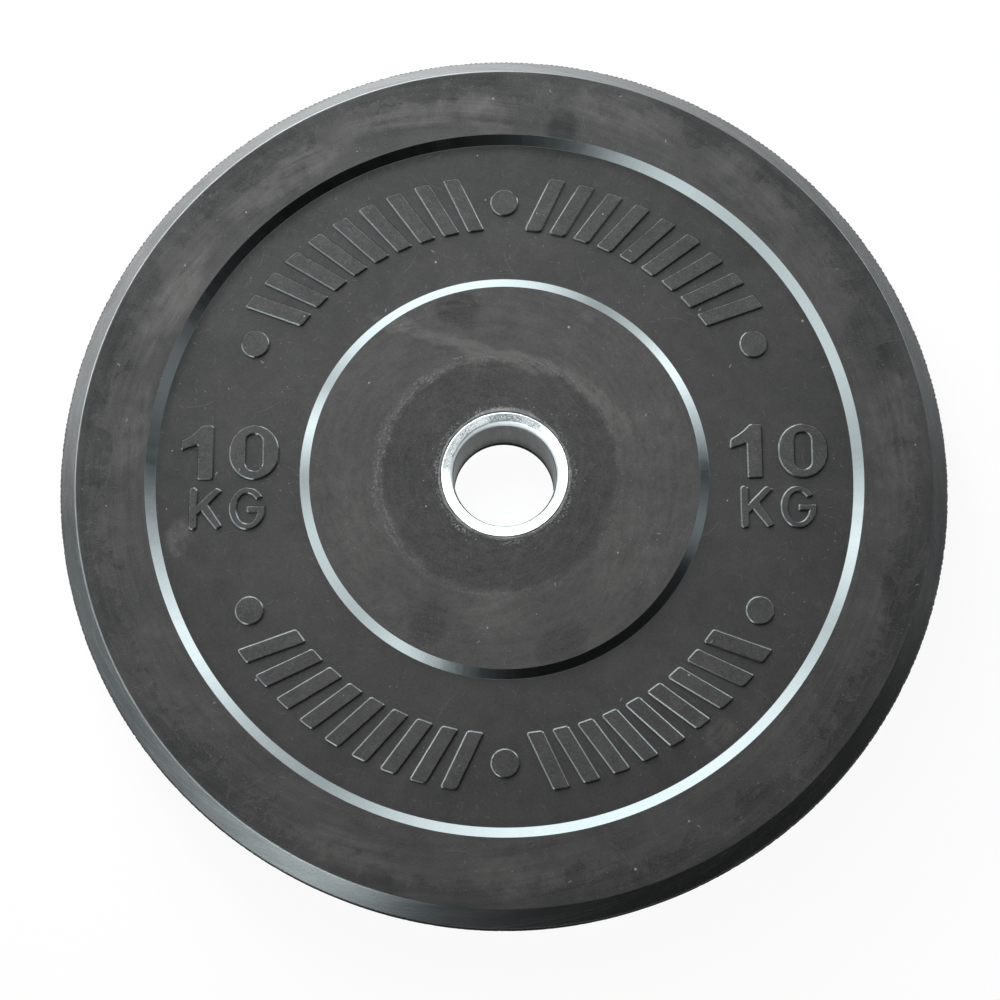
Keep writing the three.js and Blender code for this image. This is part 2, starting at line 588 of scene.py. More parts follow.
    def diffuse(self, grey):
        return self.node("ShaderNodeBsdfDiffuse", inputs={"Color": (grey, grey, grey, 1)})

    def blend(self, share, first, second):
        """One shader over another."""
        return self.node("ShaderNodeMixShader", inputs={0: share, 1: first, 2: second})

    def seen(self):
        """1 for the camera, for reflections and through glass, and 0 for the light on things."""
        ray = self.node("ShaderNodeLightPath", output="Is Camera Ray")
        mirrored = self.maths("MAXIMUM", ray, ray["Is Glossy Ray"])
        return self.maths("MAXIMUM", mirrored, ray["Is Transmission Ray"])

    def finish(self, surface, kind="ShaderNodeOutputMaterial"):
        """Add the output, and return the material or the world."""
        self.node(kind, inputs={"Surface": surface})
        return self.owner


def new_shader(name):
    """The empty shader of a new material."""
    return Shader(bpy.data.materials.new(name))


# Blots on the front face: x and y, length and width in millimetres, turn in degrees, and tone
BLOTS = (
    (-163, -31, 22, 16, 60, 0.20),
    (105, -128, 20, 18, 0, 0.17),
    (-187, 25, 50, 16, 80, 0.16),
    (-168, 92, 70, 18, 62, 0.20),
    (-110, 158, 80, 16, 36, 0.24),
    (-40, 192, 90, 14, 12, 0.22),
    (-6, 190, 26, 22, 0, 0.16),
    (30, 185, 18, 22, 0, -0.22),
    (186, 70, 40, 22, -70, -0.16),
    (128, 150, 60, 20, -40, 0.10),
    (198, -60, 40, 22, 80, -0.14),
    (-75, -188, 60, 18, -20, 0.13),
    (4, -200, 46, 20, 0, 0.12),
    (110, -165, 50, 20, 35, -0.08),
    (-23, 86, 24, 20, 0, -0.26),
    (-16, 65, 34, 10, -16, 0.34),
    (-48, 76, 46, 8, -22, 0.25),
    (10, 58, 40, 8, -18, 0.3),
    (42, 44, 36, 9, -44, 0.26),
    (57, 26, 26, 8, -64, 0.18),
    (44, 83, 10, 8, 0, 0.16),
    (-37, -75, 20, 26, -15, -0.15),
    (29, -86, 30, 16, 30, -0.15),
    (-5, -70, 34, 26, 0, 0.12),
    (70, 20, 40, 40, 0, 0.10),
    (66, -40, 60, 44, 50, 0.08),
    (197, 25, 26, 64, 0, 0.10),
    (62, 190, 64, 20, -18, 0.10),
    (-75, -20, 30, 60, 0, 0.08),
)

# How far the blots' outlines wander, in millimetres
BLOT_WANDER = 13

# How far the pattern on the front face is shifted from the back one's, in millimetres
FACE_SHIFT = (431, 287)

# Height gained per millimetre out on the boss's slope, which leans its shading a little upwards
BOSS_LEAN = 0.11

# The worn disc round the hub, in millimetres: its middle is off the axis, its edge is scuffed
DISC_SHIFT = 3
DISC_RADIUS = 60


def front_blots(shader, place):
    """The light and dark blots of the front face, added up."""
    wander = shader.noise(place, 13, detail=3, output="Color")
    shifted = shader.vector("MULTIPLY", wander, (BLOT_WANDER, BLOT_WANDER, 0))
    middle = shader.vector("SUBTRACT", place, (BLOT_WANDER / 2, BLOT_WANDER / 2, 0))
    ragged = shader.vector("ADD", middle, shifted)
    total = 0
    for x, y, long, wide, turn, tone in BLOTS:
        spot = shader.node(
            "ShaderNodeMapping",
            {"vector_type": "TEXTURE"},
            {
                "Vector": ragged,
                "Location": (x, y, 0),
                "Rotation": (0, 0, math.radians(turn)),
                "Scale": (long / 2, wide / 2, 1),
            },
        )
        total = total + shader.rise(shader.flat_length(spot), 0.55, 1.25, tone, 0)
    return total


def moulding_circles(shape):
    """Radii of the rubber's edges, in millimetres."""
    tread = (PLATE_RADIUS - shape.knurl_height) / MM
    rim_outer = tread - shape.chamfer_width / MM
    rim_inner = rim_outer - shape.rim_width / MM
    boss = shape.boss_diameter / MM / 2
    return SimpleNamespace(
        tread=tread,
        rim_outer=rim_outer,
        rim_inner=rim_inner,
        floor_outer=rim_inner - shape.rim_slope / MM,
        floor_inner=boss + shape.boss_slope / MM,
        boss=boss,
        socket=(SLEEVE_RADIUS + BOND_GAP) / MM,
    )


def moulding_parts(shader, marks, at, radius, above_floor):
    """Masks that are 1 on one part of the moulding and 0 elsewhere."""
    rise = shader.rise
    band = shader.band
    mark_top = marks.rise / MM
    mark_edge = (marks.rise - marks.edge_height) / MM
    web = band(radius, at.floor_inner, at.floor_outer, 0.1)
    rim = band(radius, at.rim_inner, at.rim_outer, 0.5)
    boss = rise(radius, at.boss - 0.4, at.boss + 0.2, 1, 0)
    rim_slope = band(radius, at.floor_outer, at.rim_inner + 0.05, 0.12)
    boss_slope = band(radius, at.boss - 0.05, at.floor_inner, 0.12)
    return SimpleNamespace(
        face=rise(radius, at.rim_outer - 0.3, at.rim_outer + 0.1, 1, 0),
        chamfer=band(radius, at.rim_outer, at.tread - 0.1, 0.25),
        slopes=rim_slope + boss_slope,
        web=web,
        edges=band(above_floor, mark_edge, mark_top - 0.2, 0.05) * web,
        lines=band(above_floor, mark_top - 0.24, mark_top - 0.03, 0.05) * web,
        marks=rise(above_floor, mark_top - 0.04, mark_top - 0.01) * web,
        rim=rim,
        boss=boss,
        raised=rim + boss,
        tread=rise(radius, at.tread - 0.1, at.tread + 0.05),
    )


def face_scratches(shader, face, near_hub):
    """Scratches, dents and flecks in the flat faces, thicker in some places and round the hub."""
    thick = shader.rise(shader.noise(face, 40, detail=3), 0.42, 0.62)
    nicks = shader.scratches(face, 37, 18, 0.15, 0.4) * 0.18
    nicks = nicks + shader.scratches(face, 14, 5, 0.12, 0.45) * 0.22
    nicks = nicks + shader.scratches(face, 6.5, 3, 0.1, 0.4) * (thick * 0.28 + 0.06)
    nicks = nicks + shader.scratches(face, 29, 2.4, 0.45, 0.16) * 0.55
    nicks = nicks + shader.flecks(face, 31, 0.9, 0.34)
    return nicks + shader.flecks(face, 4.3, 0.55, 0.22) * (thick * 0.3 + near_hub * 0.5)


def rubber_material(shape, marks, finish):
    """Moulded rubber: matte scuffed faces, glossy slopes and a dusty knurl."""
    shader = new_shader("moulded_rubber")
    rise = shader.rise
    band = shader.band
    noise = shader.noise
    place = shader.place()
    radius = shader.flat_length(place)
    around = shader.around(place)
    from_middle = shader.part(place, "Z") - MIDDLE / MM
    front = from_middle > 0
    above_floor = abs(from_middle) - (MIDDLE - shape.recess_depth) / MM
    face = shader.vector("ADD", place, shader.joined(front * FACE_SHIFT[0], front * FACE_SHIFT[1], 0))

    def swept(turns, rows, shift):
        """Coordinates that draw noise out along the circles, and differ from face to face."""
        turned = shader.vector("MULTIPLY", around, (turns, turns, 0))
        return shader.vector("ADD", turned, shader.joined(radius * rows, front * shift, 0))

    # The edges between the parts, and a mask on each part
    at = moulding_circles(shape)
    on = moulding_parts(shader, marks, at, radius, above_floor)

    # Painted light and shade on one side: a painted highlight along the rim's outer edge, a painted
    # shadow in the recess's corner under the rim, and the side where the lip round the hub has a wider
    # painted highlight; and a band round the hub
    # Painted highlight: a pale line along the rim's outer edge, mostly on the left side
    painted_rim_highlight = band(radius, at.rim_outer + 0.15, at.rim_outer + 0.8, 0.2)
    painted_rim_highlight = painted_rim_highlight * rise(shader.facing(around, -0.98, 0.17), -0.05, 0.4)
    # Painted shadow: the recess's floor darker near the rim's slope, on the side towards the key lamps
    painted_corner_shadow = rise(radius, at.floor_outer - 6, at.floor_outer) * on.web
    painted_corner_shadow = painted_corner_shadow * rise(shader.facing(around, -0.47, 0.88), 0.45, 0.9, 0.2, 1)
    # The lit upper side, where the painted highlight on the hub's lip is wider
    hub_lit_side = rise(shader.facing(around, 0.03, 1), 0.8, 1)
    near_hub = band(radius, at.socket, at.socket + 13, 6)

    # Clouds, strokes and grain
    clouds = rise(noise(face, 52, detail=4, roughness=0.55, distortion=0.4), 0.3, 0.75)
    cotton = noise(face, 10, detail=7, roughness=0.64) - 0.5
    patches = rise(noise(face, 21, detail=7, roughness=0.7, distortion=0.6), 0.52, 0.68)
    grain = noise(face, 0.85, detail=3, roughness=0.72) - 0.5
    speckle = rise(noise(face, 0.85, detail=3, roughness=0.7), 0.48, 0.62)
    scuffs = rise(noise(face, 3.2, detail=6, roughness=0.75, distortion=1.2), 0.5, 0.72)
    chafed = rise(noise(around, 0.5, detail=3, roughness=0.6), 0.35, 0.62)
    wide_rows = swept(2.2, 0.32, 9)
    streaks = noise(wide_rows, 1, detail=5, roughness=0.65, distortion=0.4) - 0.5
    wisps = rise(noise(wide_rows, 0.35, detail=6, roughness=0.7, distortion=0.8), 0.46, 0.66)
    strokes = noise(swept(9, 0.3, 5), 1, detail=6, roughness=0.68, distortion=0.5) - 0.5
    blotches = noise(swept(12, 0.55, 7), 1, detail=4, roughness=0.6)
    ragged = rise(noise(face, 17, detail=8, roughness=0.72, distortion=0.5), 0.25, 0.75)
    margin = on.rim * rise(radius + ragged * 26, at.rim_outer + 1, at.rim_outer + 4)

    # The worn disc round the hub, and the hub's chafed edge, whose pale lip is partly chafed rubber and
    # partly a painted highlight
    centred = shader.vector("ADD", place, (DISC_SHIFT, 0, 0))
    from_hub = shader.flat_length(centred) + cotton * 9
    worn_disc = rise(from_hub, DISC_RADIUS - 3, DISC_RADIUS + 3, 1, 0)
    scuffed_edge = band(from_hub, DISC_RADIUS - 1, DISC_RADIUS + 3.5, 1.6)
    scuffed_side = shader.facing(shader.around(centred), -0.62, 0.78)
    scuffed_edge = scuffed_edge * rise(scuffed_side, -0.6, 0.7, 0.2, 1)
    # The pale lip round the hub: chafed rubber and a painted highlight, wider on the lit upper side
    lip_wear_and_highlight = band(radius + cotton * 3 - hub_lit_side * 1.2, at.socket - 1.5, at.socket + 1.1, 0.5)
    round_hub = band(radius + cotton * 7, at.socket + 2.0, at.socket + 3.8, 0.8)

    # How light the rubber is: 0 is clean and dark, 1 is scuffed and dusty; a painted shadow also darkens
    # the recess's corner on the lamps' side
    tone = 0.27 - on.web * rise(radius, at.floor_inner + 8, at.floor_outer - 8, 0, 0.08)
    tone = tone + clouds * (0.12 + on.rim * 0.14) + patches * (0.05 + on.raised * 0.05) - painted_corner_shadow * 0.2
    tone = tone + cotton * (0.3 + on.raised * 0.1) + (streaks * 0.4 + strokes * 0.4) * on.raised
    tone = tone + grain * (0.45 + on.raised * 0.4) - margin * 0.17 + on.boss * 0.18 - worn_disc * 0.2
    tone = tone + scuffed_edge * (0.12 + wisps * 0.45 + speckle * 0.4)
    tone = tone + front_blots(shader, place) * front * (1.3 + cotton * 4 + strokes * 5)
    tone = tone + on.marks * (0.02 + scuffs * 0.1) + scuffs * (clouds * 0.08 + near_hub * 0.16)

    # Scratches, dents and flecks, and the pale lip round the hub with its painted highlight
    nicks = face_scratches(shader, face, near_hub) + scuffed_edge * wisps * speckle * 0.45
    nicks = nicks + lip_wear_and_highlight * (0.3 + chafed * 0.35 + speckle * 0.5) + round_hub * speckle * chafed * 0.7
    nicks = nicks * on.face

    # Colours, from the faces to the tread
    line_share = 0.14 + scuffs * 0.4 + speckle * 0.3 + cotton * 0.8
    knurl_share = rise(radius, at.tread, at.tread + shape.knurl_height / MM, 0.16, 0) + grain * 0.1
    rubbed = shader.mix(blotches * 0.16 + strokes * 0.7, finish.rubber_dark, finish.rubber_light)
    knurl = shader.mix(knurl_share, finish.rubber_dark, finish.rubber_light)
    surface = shader.mix(tone, finish.rubber_dark, finish.rubber_light)
    surface = shader.mix(nicks, surface, finish.scratch)
    surface = shader.mix(on.chamfer, surface, rubbed)
    # The rim's painted highlight, in pale scratch colour
    surface = shader.mix(painted_rim_highlight * (0.6 + strokes * 1.5), surface, finish.scratch)
    surface = shader.mix(on.slopes, surface, finish.rubber_gloss)
    surface = shader.mix(on.edges, surface, finish.rubber_gloss)
    # Pale lines along the marks' top edges: worn rubber, and also a painted highlight all round
    surface = shader.mix(on.lines * line_share, surface, finish.scratch)
    surface = shader.mix(on.tread, surface, knurl)

    # Relief of the matte rubber and of the slick rubber on the slopes
    turned = shader.vector("MULTIPLY", around, (200, 200, 0))
    lines = noise(turned, 1.3, detail=2, roughness=0.6) * on.slopes
    turned = shader.vector("MULTIPLY", around, (38, 38, 0))
    bands = noise(turned, 1, detail=3, roughness=0.6) * on.slopes
    waves = noise(place, 34, detail=2)
    ripples = noise(face, 9, detail=3)
    down_slope = shader.maths("MAXIMUM", radius - at.boss, 0)
    down_slope = shader.maths("MINIMUM", down_slope, shape.boss_slope / MM)
    height = grain * 0.03 + waves * 0.12 + cotton * on.face * 0.03 - nicks * 0.05
    polish = waves * 0.12 + ripples * 0.05 + grain * 0.0012 + lines * 0.003 + down_slope * BOSS_LEAN
    matte = shader.principled(
        Base_Color=surface,
        Roughness=0.57 - tone * 0.1 + grain * 0.1 + on.tread * 0.4,
        Specular_IOR_Level=0.12,
        Normal=shader.bump(height),
    )
    slick = shader.principled(
        Base_Color=surface,
        Roughness=0.06 + lines * 0.07 + bands * 0.14 + on.chamfer * (0.13 + blotches * 0.14),
        IOR=2.0,
        Normal=shader.bump(polish),
    )
    gloss = on.slopes + on.chamfer * (0.62 + strokes * 0.4) + on.edges * 0.4 + on.lines * 0.2
    return shader.finish(shader.blend(gloss, matte, slick))


def turned_steel_material(shape, finish):
    """Turned steel: bright end faces with specks, and a dark satin bore with painted shade deeper in."""
    shader = new_shader("turned_steel")
    rise = shader.rise
    noise = shader.noise
    place = shader.place()
    radius = shader.flat_length(place)
    around = shader.around(place)
    across = shader.part(around, "X")
    upward = shader.part(around, "Y")
    height = shader.part(place, "Z")

    # Where each part of the sleeve lies
    bore = shape.bore / MM / 2
    lead_in = bore + shape.lead_in_width / MM
    outside = SLEEVE_RADIUS / MM
    in_bore = rise(radius, bore + 0.03, bore + 0.15, 1, 0)
    on_end = rise(radius, lead_in - 0.2, lead_in + 0.4)
    on_lead_in = shader.band(radius, bore + 0.2, lead_in, 0.2)

    # The end face is duller and speckled on one side
    blotches = noise(place, 4.5, detail=4, roughness=0.65)
    dull = rise(shader.facing(around, -0.42, 0.91), 0.2, 0.6, 0, 0.82)
    dull = dull + rise(shader.facing(around, 0.035, 1), 0.93, 1, 0, 0.28)
    dull = dull * (0.6 + blotches * 0.8) * on_end
    glints = rise(noise(place, 0.6, detail=3, roughness=0.75), 0.5, 0.62)
    frayed = rise(radius + blotches * 1.2, outside - 0.3, outside + 0.2)
    dull = dull * (1 - glints * 0.45) * (1 - frayed * 0.8)
    rings = noise(shader.joined(radius * 3.2, across * 0.6, 0), 1, detail=3)
    specks = rise(noise(place, 1.05, detail=3, roughness=0.72), 0.53, 0.6) * dull
    pits = shader.flecks(place, 2.6, 0.35, 0.25) * on_end

    # The bore is brighter where the bar rests, and has painted shade that grows deeper in
    drawn_out = shader.vector("MULTIPLY", around, (9, 9, 0))
    drawn_out = shader.vector("ADD", drawn_out, shader.joined(0, 0, height * 0.05))
    wiped = noise(drawn_out, 1, detail=4, roughness=0.6)
    rested_on = rise(upward, -0.5, 0.1, 1, 0)
    painted_bore_shade = rise(height + wiped * 3, 27, 2) + rise(height, 11, 8, 0, 0.5)
    painted_bore_shade = painted_bore_shade * in_bore * (1 - rested_on)
    # Painted highlight: the bore's wall lighter on the right and darker on the left, towards the front
    painted_bore_highlight = across * rise(height, 20, 46) * 0.06
    lower_side = rise(upward, -0.5, -0.1, 1, 0)
    # Painted shade: a dark line on the lead-in just above the bore, strongest at the left and right and
    # wider on the lower side
    painted_throat_shade = shader.band(radius - lower_side * 0.65, bore - 0.6, bore + 0.48, 0.1)
    painted_throat_shade = painted_throat_shade * (0.25 + abs(across) * 0.75) * rise(radius, bore, bore + 0.16)

    tint = shader.mix(dull, finish.steel_bright, finish.steel_dull)
    spotted = shader.mix(specks * 0.9 + pits * 0.7, tint, finish.steel_speck)
    shine = rise(wiped, 0.4, 0.75, 0, 0.06) + rested_on + painted_bore_highlight
    wall = shader.mix(shine, finish.steel_bore, finish.steel_bright)
    surface = shader.mix(in_bore, spotted, wall)
    surface = shader.mix(painted_throat_shade, surface, finish.steel_speck)
    steel = shader.principled(
        Base_Color=surface,
        Metallic=1.0,
        Roughness=0.24 + rings * 0.1 + dull * 0.16 + in_bore * 0.12 + specks * 0.15 + on_lead_in * 0.2,
        Specular_Tint=(0.72, 0.73, 0.73, 1),
        Normal=shader.bump(rings * 0.012 * on_end - specks * 0.03 - pits * 0.06 + wiped * in_bore * 0.02),
    )
    # The painted shade blends the bore's wall towards near black
    return shader.finish(shader.blend(painted_bore_shade * 0.75, steel, shader.diffuse(0.012)))


def plate_steel_material():
    """Hot-rolled plate with mill scale, for the flange inside the rubber."""
    shader = new_shader("plate_steel")
    place = shader.place()
    scale = shader.rise(shader.noise(place, 9, detail=5, roughness=0.65), 0.42, 0.6)
    grain = shader.noise(place, 0.8, detail=3)
    rolled = shader.noise(shader.vector("MULTIPLY", place, (0.08, 1.4, 1)), 1, detail=2)
    plate = shader.principled(
        Base_Color=shader.mix(scale, (0.12, 0.12, 0.13), (0.36, 0.365, 0.37)),
        Metallic=0.9,
        Roughness=0.62 - scale * 0.18 + rolled * 0.1,
        Normal=shader.bump(grain * 0.03 + scale * 0.02 + rolled * 0.015),
    )
    return shader.finish(plate)


def weld_material():
    """Weld metal with the ripples of its run and a heat tint."""
    shader = new_shader("weld_metal")
    place = shader.place()
    ripples = shader.maths("SINE", shader.angle(place) * 150)
    spread = shader.noise(place, 3, detail=3)
    heat = shader.rise(spread, 0.35, 0.7)
    weld = shader.principled(
        Base_Color=shader.mix(heat, (0.20, 0.19, 0.20), (0.36, 0.33, 0.29)),
        Metallic=0.95,
        Roughness=0.4 + spread * 0.25,
        Normal=shader.bump(ripples * 0.08 + spread * 0.2),
    )
    return shader.finish(weld)


def floor_material():
    """A white floor that keeps the object's soft shadow."""
    shader = new_shader("white_floor")
    glow = shader.node("ShaderNodeEmission", inputs={"Color": (1, 1, 1, 1), "Strength": FLOOR_GLOW})
    shown = shader.node("ShaderNodeAddShader", inputs={0: glow, 1: shader.diffuse(FLOOR_SHADE)})
    return shader.finish(shader.blend(shader.seen(), shader.diffuse(FLOOR_GREY), shown))


def reflector_material(name, levels, tint):
    """A glowing card whose brightness follows the direction round the plate."""
    shader = new_shader(name)
    share = shader.maths("FRACT", shader.angle(shader.point()) * (1 / FULL_TURN))
    brightest = max(level for _, level in levels)
    stops = [(degrees / 360, level / brightest) for degrees, level in levels]
    level = shader.node("ShaderNodeValToRGB", {"stops": stops}, {"Fac": share})
    shown = shader.vector("MULTIPLY", level, tint)
    glow = shader.node("ShaderNodeEmission", inputs={"Color": shown, "Strength": brightest})
    return shader.finish(glow)


# Roundings at the foot and at the crest of the lip round the hub
LIP_FOOT = 0.1 * MM
LIP_CREST = 0.15 * MM

# The knurl's points stay this far inside the frame
KNURL_ROOM = 0.01 * MM

# Shares of the knurl's wear, and how many points in nine have each
KNURL_WEAR = {0: 5, 0.35: 3, 1: 1}


def knurl_limit(shape):
    """The height of the knurl's upper edge."""
    return FRONT - shape.chamfer_depth - shape.tread_edge - shape.knurl_border


def rubber_profile(mesh, shape):
    """The upper half of the rubber's outline, from the tread's middle over the face to its insert."""
    tread = PLATE_RADIUS - shape.knurl_height - KNURL_ROOM
    rim_outer = tread - shape.chamfer_width
    rim_inner = rim_outer - shape.rim_width
    boss = shape.boss_diameter / 2
    boss_height = FRONT - shape.boss_set_back
    floor_height = FRONT - shape.recess_depth
    socket = SLEEVE_RADIUS + BOND_GAP
    flange_top = FLANGE_TOP + BOND_GAP
    row_height = (knurl_limit(shape) - MIDDLE) / shape.knurl_rows
    corners = (
        *((tread, MIDDLE + row_height * row, 0) for row in range(shape.knurl_rows + 1)),
        (tread, FRONT - shape.chamfer_depth, shape.tread_edge),
        (rim_outer, FRONT, shape.rim_edge),
        (rim_inner, FRONT, shape.slope_edge),
        (rim_inner - shape.rim_slope, floor_height, shape.slope_foot),
        (boss + shape.boss_slope, floor_height, shape.slope_foot),
        (boss, boss_height, shape.slope_edge),
        (socket + shape.flash_width, boss_height, LIP_FOOT),
        (socket + shape.flash_width / 2, boss_height + shape.flash_height, LIP_CREST),
        (socket, boss_height + shape.flash_height / 2, 0),
        (socket, WELD_TOP + BOND_GAP, 0),
        (WELD_RADIUS + BOND_GAP, flange_top, 0),
        (FLANGE_RADIUS + BOND_GAP, flange_top, 0),
        (FLANGE_RADIUS + BOND_GAP, MIDDLE, 0),
    )
    turned_chain(mesh, corners)
    return tread


def knurl_tread(mesh, shape, tread):
    """Raise the tread's faces into rows of diamond points, some worn lower than others."""
    limit = knurl_limit(shape) - MIDDLE

    def on_tread(face):
        centre = face.calc_center_median()
        flat = abs(face.normal.z) < 0.1 and centre.xy.length > tread - 0.1 * MM
        return flat and abs(centre.z - MIDDLE) < limit

    def tread_faces():
        """The tread's faces in order of their vertices, since a spin leaves their own to chance."""
        mesh.verts.index_update()
        faces = [face for face in mesh.faces if on_tread(face)]
        return sorted(faces, key=lambda face: sorted(vertex.index for vertex in face.verts))

    cells = tread_faces()
    inside = set(cells)
    seams = {edge for face in cells for edge in face.edges if inside.issuperset(edge.link_faces)}
    bmesh.ops.poke(mesh, faces=cells)
    bmesh.ops.dissolve_edges(mesh, edges=list(seams), use_verts=False)
    chance = random.Random(31)
    graded = {wear: [] for wear in KNURL_WEAR}
    for face in tread_faces():
        wear = chance.choices(list(KNURL_WEAR), weights=KNURL_WEAR.values())[0]
        graded[wear].append(face)
    for wear, faces in graded.items():
        bmesh.ops.inset_individual(
            mesh,
            faces=faces,
            thickness=shape.knurl_flank,
            depth=shape.knurl_height - wear * shape.knurl_wear,
            use_even_offset=True,
        )


def fray_lip(mesh, shape):
    """Leave the moulded lip round the hub ragged."""
    chance = random.Random(7)
    limit = SLEEVE_RADIUS + BOND_GAP + shape.flash_width * 0.8
    for vertex in mesh.verts:
        above_boss = abs(vertex.co.z - MIDDLE) - (MIDDLE - shape.boss_set_back)
        if vertex.co.xy.length < limit and above_boss > 0.02 * MM:
            side = 1 if vertex.co.z > MIDDLE else -1
            vertex.co.z -= chance.uniform(0, shape.flash_height) * side
            vertex.co.xy *= 1 + chance.uniform(-0.001, 0.003)


class PLATE_OT_rubber_weight(bpy.types.Operator):
    """Turn the rubber weight, knurl its tread and leave a moulded lip round the hub"""

    bl_idname = "plate.rubber_weight"
    bl_label = "Rubber Weight"

    def execute(self, context):
        scene = context.scene
        shape = scene.plate_rubber
        mesh = bmesh.new()
        tread = rubber_profile(mesh, shape)
        turn_profile(mesh, shape.knurl_columns)
        knurl_tread(mesh, shape, tread)
        fray_lip(mesh, shape)
        bmesh.ops.recalc_face_normals(mesh, faces=mesh.faces[:])
        material = rubber_material(shape, scene.plate_marks, scene.plate_finish)
        piece = new_piece(mesh, "rubber_weight", material)
        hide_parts("rubber_body")
        return {"FINISHED"}


# Outlines of the figure and the letter with straight sides, as shares of their own height
ONE_SHARES = (
    (-0.875, 0.03, 0.05),
    (-0.865, 0.215, 0.04),
    (-0.655, 0.325, 0.16),
    (-0.505, 0.497, 0.05),
    (-0.29, 0.497, 0.05),
    (-0.29, -0.497, 0.04),
    (-0.57, -0.497, 0.04),
    (-0.57, 0.13, 0.02),
)
K_SHARES = (
    (-0.92, -0.5, 0.09),
    (-0.92, 0.5, 0.09),
    (-0.72, 0.5, 0.09),
    (-0.72, 0.1, 0),
    (-0.32, 0.5, 0.06),
    (-0.14, 0.42, 0.07),
    (-0.47, 0.085, 0.03),
    (-0.13, -0.42, 0.07),
    (-0.29, -0.5, 0.06),
    (-0.625, -0.075, 0),
    (-0.72, -0.165, 0),
    (-0.72, -0.5, 0.09),
)


# The nought's two boxes: half width, half height, and the reach and segments of each cut
ZERO_BOXES = (
    (0.4425, 0.5, ((0.27, 1), (0.17, 5))),
    (0.147, 0.33, ((0.135, 8),)),
)

# How far the nought's and the round letter's middles lie right of the mark's
ZERO_MIDDLE = 0.43
G_MIDDLE = 0.42


def zero_outline(mesh):
    """The ring of a nought: the space between two long boxes with cut and rounded corners."""
    sides = ((-1, -1), (1, -1), (1, 1), (-1, 1))
    for half_wide, half_high, cuts in ZERO_BOXES:
        loop = bmesh.new()
        chain(loop, [(x * half_wide + ZERO_MIDDLE, y * half_high, 0) for x, y in sides], closed=True)
        for reach, segments in cuts:
            round_corners(loop, [(v, reach) for v in loop.verts[:]], segments)
        join(mesh, loop)
    bmesh.ops.bridge_loops(mesh, edges=mesh.edges[:])


def g_outline(mesh):
    """A letter with a round back, an open mouth and a bar."""
    outer = (0.42, 0.5)
    inner = (0.24, 0.345)
    bar_top = 0.06
    bar_foot = -0.095
    bar_start = 0.41
    corner = 0.045

    def arc(half_sizes, start, end, steps):
        first = mesh.verts.new((math.cos(start), math.sin(start), 0))
        bmesh.ops.spin(mesh, geom=[first], cent=(0, 0, 0), axis=UP, angle=end - start, steps=steps)
        vertices = [first]
        while True:
            onward = [e.other_vert(vertices[-1]) for e in vertices[-1].link_edges]
            onward = [v for v in onward if v not in vertices]
            if not onward:
                break
            vertices.append(onward[0])
        bmesh.ops.scale(mesh, verts=vertices, vec=(*half_sizes, 1))
        bmesh.ops.translate(mesh, verts=vertices, vec=(G_MIDDLE, 0, 0))
        return vertices

    back = arc(outer, math.radians(31), math.radians(360) + math.asin(bar_top / outer[1]), 40)
    hollow = arc(inner, math.radians(35), math.radians(360) + math.asin(bar_foot / inner[1]), 34)
    bar = [mesh.verts.new((bar_start, height, 0)) for height in (bar_top, bar_foot)]
    mouth = [back[0], hollow[0]]
    for start, end in ((back[-1], bar[0]), bar, (bar[1], hollow[-1]), (hollow[0], back[0])):
        mesh.edges.new((start, end))
    mesh.faces.new([*back, *bar, *reversed(hollow)])
    round_corners(mesh, [(v, corner) for v in (*mouth, *bar)], 3)


def add_mark(mesh, outline, marks, centre, height, *shares):
    """Raise one figure or letter of a height at its place on the front recess."""
    sign = bmesh.new()
    outline(sign, *shares)
    bmesh.ops.scale(sign, verts=sign.verts[:], vec=(height, height, 1))
    raise_faces(sign, marks)
    move_mesh(sign, *centre)
    join(mesh, sign)


def join(mesh, other):
    """Add one bmesh to another."""
    carrier = bpy.data.meshes.new("carrier")
    other.to_mesh(carrier)
    other.free()
    mesh.from_mesh(carrier)
    bpy.data.meshes.remove(carrier)


class PLATE_OT_weight_marks(bpy.types.Operator):
    """Raise the weight in kilograms at both sides of the hub, on both faces"""

    bl_idname = "plate.weight_marks"
    bl_label = "Weight Marks"

    def execute(self, context):
        marks = context.scene.plate_marks
        root = FRONT - context.scene.plate_rubber.recess_depth - MARK_ROOT
        mesh = bmesh.new()
        for side in (-1, 1):
            figures = (side * marks.distance, marks.figures_up, root)
            letters = (side * marks.distance, -marks.letters_down, root)
            add_mark(mesh, flat_face, marks, figures, marks.figure_height, ONE_SHARES, 3)
            add_mark(mesh, zero_outline, marks, figures, marks.figure_height)
            add_mark(mesh, flat_face, marks, letters, marks.letter_height, K_SHARES, 3)
            add_mark(mesh, g_outline, marks, letters, marks.letter_height)
        turn_mesh(mesh, marks.turn)
        copy_to_back(mesh)
        close_surface(mesh)
        new_piece(mesh, "weight_marks", bpy.data.materials["moulded_rubber"])
        return {"FINISHED"}


# From a dot to the nearest bar, in steps from bar to bar
DOT_STEPS = 1.5


